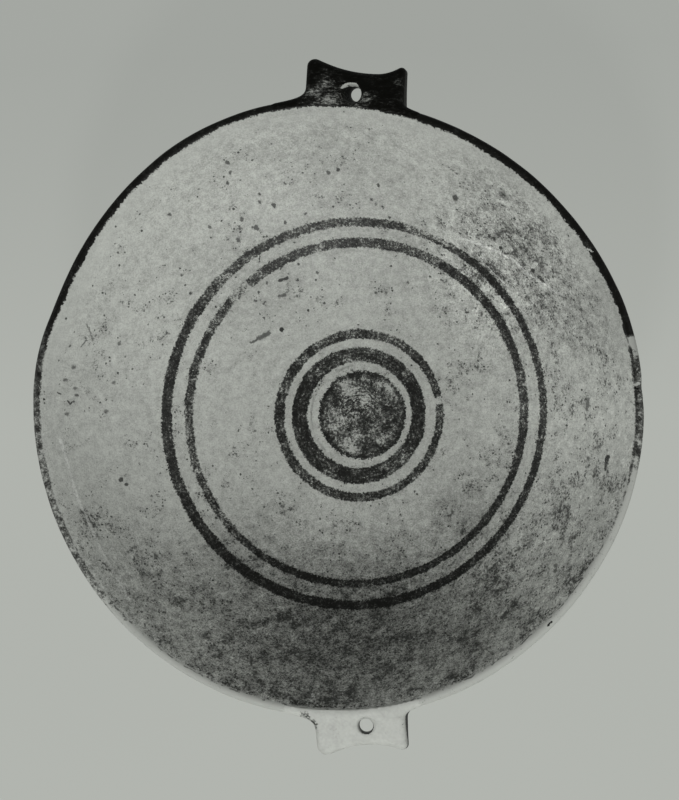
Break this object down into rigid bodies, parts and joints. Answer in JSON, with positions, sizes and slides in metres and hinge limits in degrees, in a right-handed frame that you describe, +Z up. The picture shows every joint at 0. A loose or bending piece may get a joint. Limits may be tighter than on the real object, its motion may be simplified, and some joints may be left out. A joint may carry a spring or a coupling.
{
  "type": "painted bowl",
  "caption": "Wheel-thrown ceramic bowl on a ring foot, with horned and pierced lugs at opposite sides of the rim and painted concentric bands inside.",
  "frame": {"origin": "middle of the plane that the foot rests on, on the bowl's turning axis", "axes": "+Z up out of the bowl, +Y towards the far lug, +X to the right with the far lug at the top"},
  "size_m": [0.2006, 0.2263, 0.0588],
  "materials": {
    "bare_slip": "matte",
    "bare_foot": "matte",
    "lug_paint": "satin",
    "disc_paint": "satin",
    "band_paint": "satin",
    "rim_paint": "satin"
  },
  "bodies": {
    "root": {"bowl_body": "bare_slip", "foot_ring": "bare_foot", "far_lug": "lug_paint", "near_lug": "lug_paint", "centre_disc": "disc_paint", "broad_band": "band_paint", "narrow_band": "band_paint", "pair_inner_band": "band_paint", "pair_outer_band": "band_paint", "rim_band": "rim_paint"}
  },
  "joints": []
}
